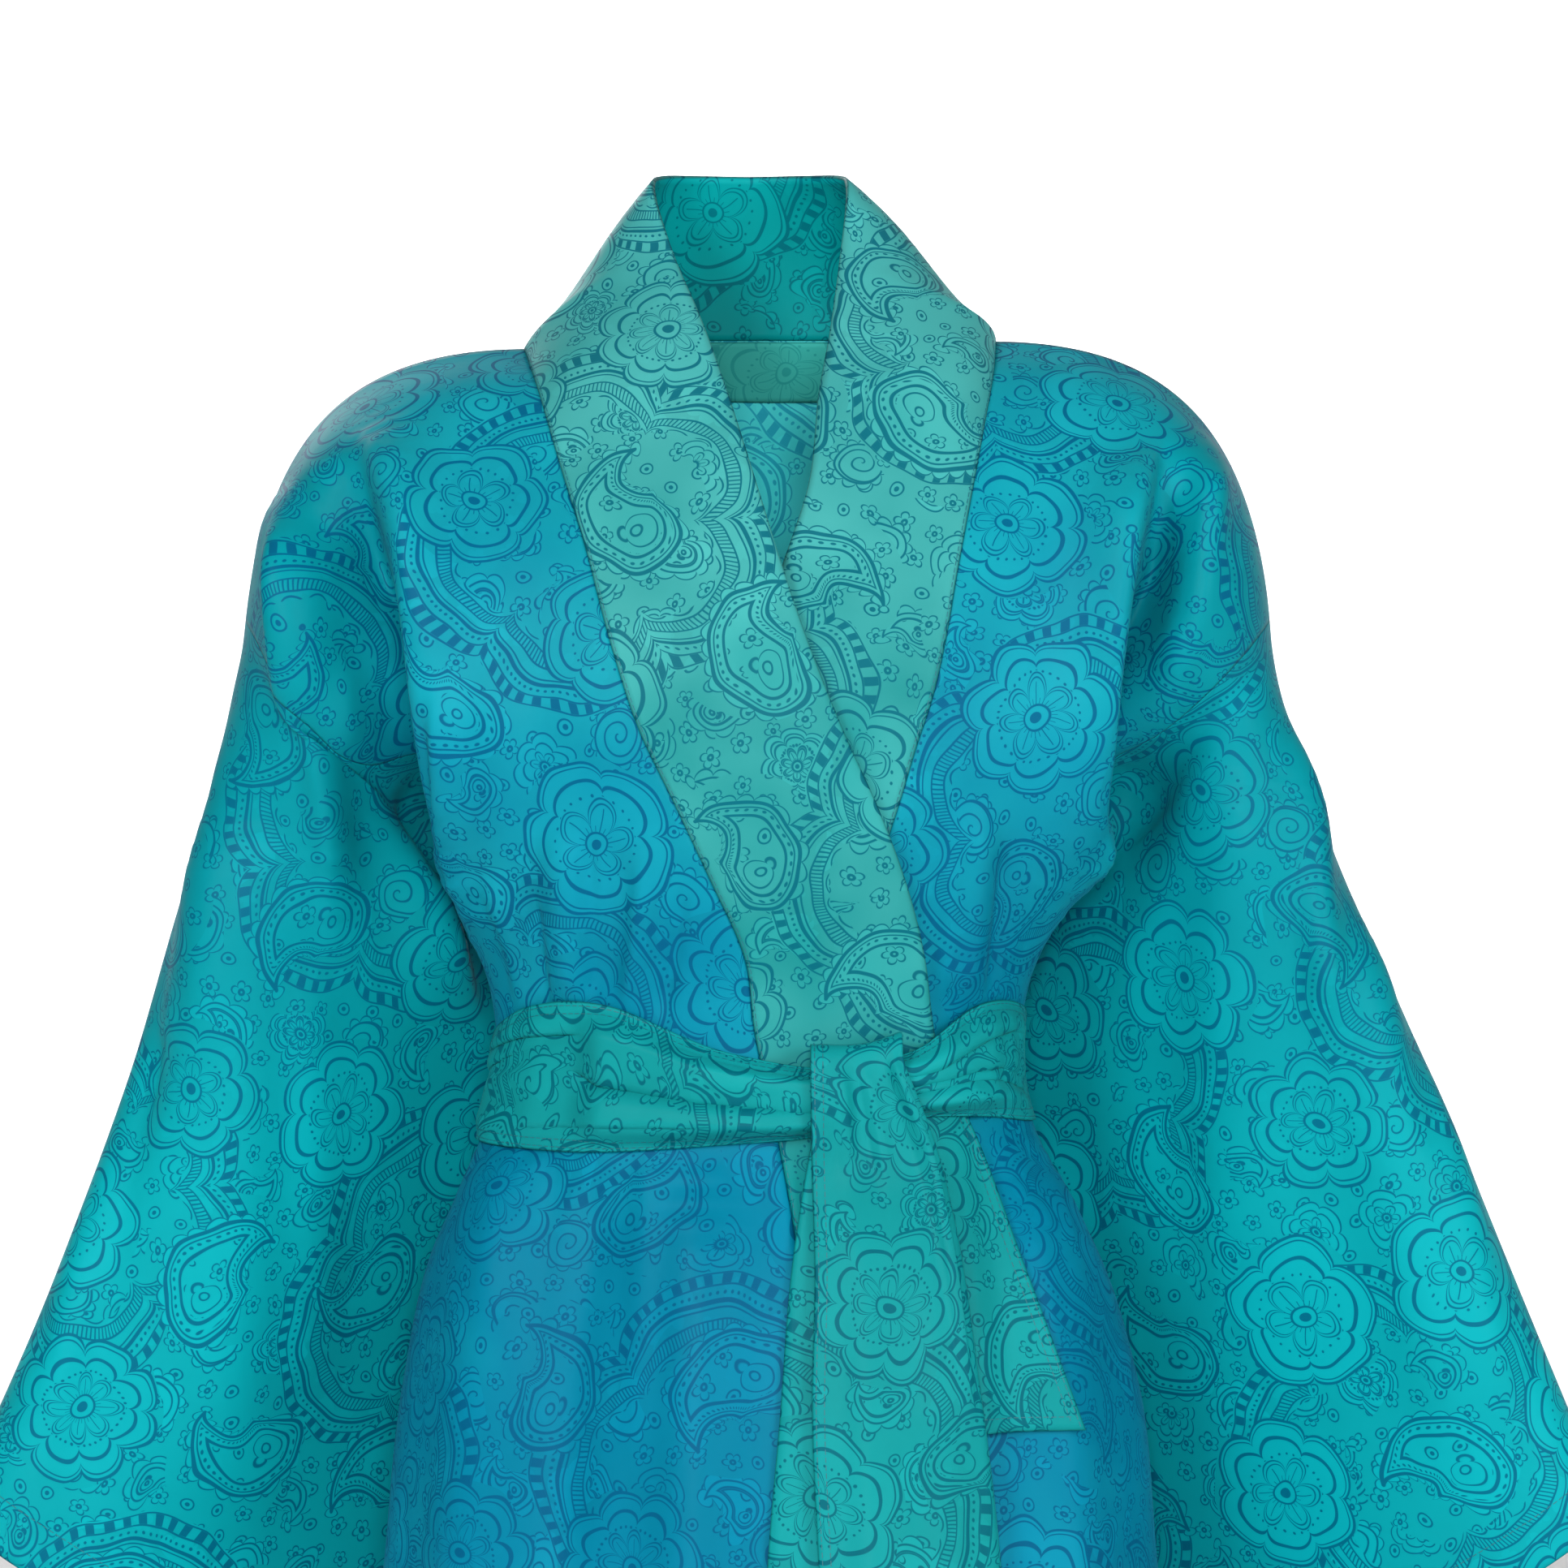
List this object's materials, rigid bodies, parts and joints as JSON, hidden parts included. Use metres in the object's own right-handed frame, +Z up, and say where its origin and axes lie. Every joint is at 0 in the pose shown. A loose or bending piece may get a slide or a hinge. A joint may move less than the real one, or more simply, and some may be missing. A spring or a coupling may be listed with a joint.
{
  "type": "kimono robe",
  "caption": "Wrap-front robe cut like a kimono, hollow, with wide sleeves, a standing neckband and a tied sash whose ends hang in front.",
  "frame": {"origin": "between the neck points of the two shoulder seams, where the wearer's shoulders carry the robe", "axes": "+Z up; the robe's front faces -Y; +X is the wearer's left side, on the right of someone looking at the front"},
  "size_m": [0.84, 0.3107, 1.1168],
  "materials": {
    "body_cloth": "cotton satin, printed, soft sheen",
    "sleeve_cloth": "cotton satin, printed, soft sheen",
    "band_cloth": "cotton satin, printed, interlined",
    "facing_cloth": "cotton satin, printed, matt side out",
    "sash_cloth": "cotton satin, printed, edges stitched"
  },
  "bodies": {
    "root": {"back_upper_right": "body_cloth", "back_upper_left": "body_cloth", "back_skirt_right": "body_cloth", "back_skirt_left": "body_cloth", "front_outer_upper": "body_cloth", "front_outer_skirt": "body_cloth", "front_inner_upper": "body_cloth", "front_inner_skirt": "body_cloth", "sleeve_right_upper": "sleeve_cloth", "sleeve_right_lower": "sleeve_cloth", "sleeve_left_upper": "sleeve_cloth", "sleeve_left_lower": "sleeve_cloth", "neckband_right": "band_cloth", "neckband_neck": "band_cloth", "neckband_left": "band_cloth", "neck_facing": "facing_cloth", "sash_wrap": "sash_cloth", "sash_tail_long": "sash_cloth", "sash_tail_short": "sash_cloth"}
  },
  "joints": []
}
